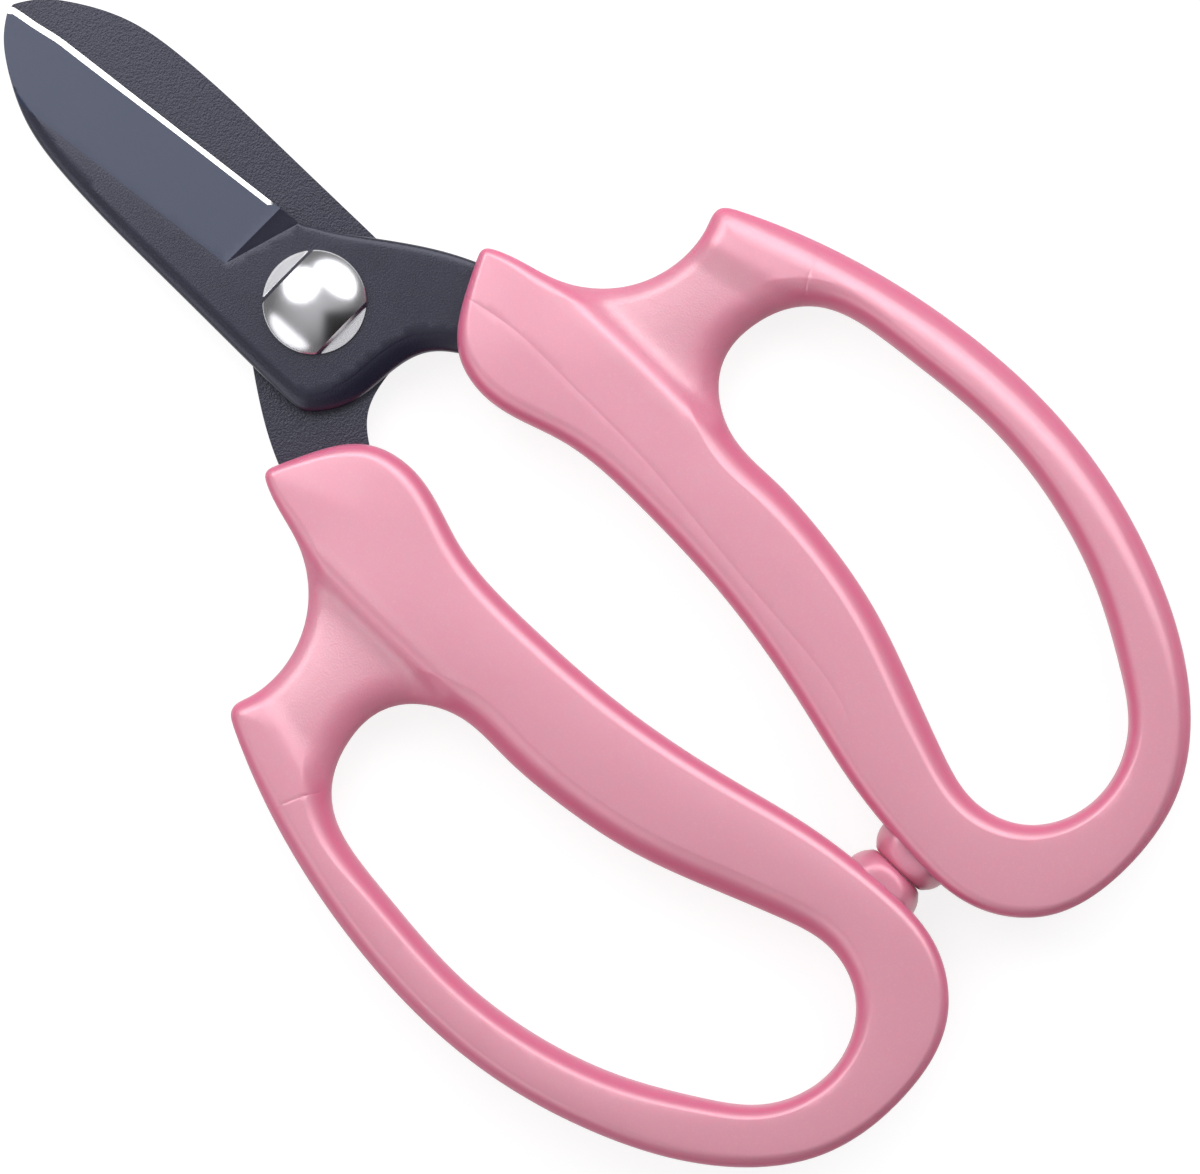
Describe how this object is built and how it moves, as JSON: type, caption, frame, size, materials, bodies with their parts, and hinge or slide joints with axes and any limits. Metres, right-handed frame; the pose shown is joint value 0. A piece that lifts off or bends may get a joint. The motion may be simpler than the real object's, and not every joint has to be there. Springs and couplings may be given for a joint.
{
  "type": "floral snips",
  "caption": "Hand snips for cut flowers: two pointed coated steel blades on one domed bolt, with moulded pink looped grips and round stops.",
  "frame": {"origin": "on the axis of the pivot bolt, at the level of the nut's underside, which is the level of the surface that the closed tool lies on", "axes": "+X runs from the pivot to the blade tips, +Y to the rear half's grip, +Z to the domed head of the bolt"},
  "size_m": [0.17, 0.1064, 0.0123],
  "materials": {
    "blade_coat": "dark grey non-stick coat on ground steel, satin, bare bright steel along the sharpened edge",
    "grip_plastic": "pearly pink moulded plastic, glossy, with a fine grain on the sunk webs",
    "stop_buffer": "the same pink, a little paler and more matt",
    "polished_bolt": "polished bright plating",
    "plated_steel": "plain bright-plated steel"
  },
  "bodies": {
    "front_half": {"front_blade": "blade_coat", "front_grip": "grip_plastic", "front_stop": "stop_buffer", "pivot_bolt": "polished_bolt", "pivot_nut": "plated_steel", "spring_washer": "plated_steel"},
    "rear_half": {"rear_blade": "blade_coat", "rear_grip": "grip_plastic", "rear_stop": "stop_buffer"}
  },
  "joints": [
    {"name": "pivot", "type": "hinge", "parent": "front_half", "child": "rear_half", "pos_m": [0, 0, 0.006], "axis": [0, 0, -1], "range_deg": [0, 85]}
  ]
}
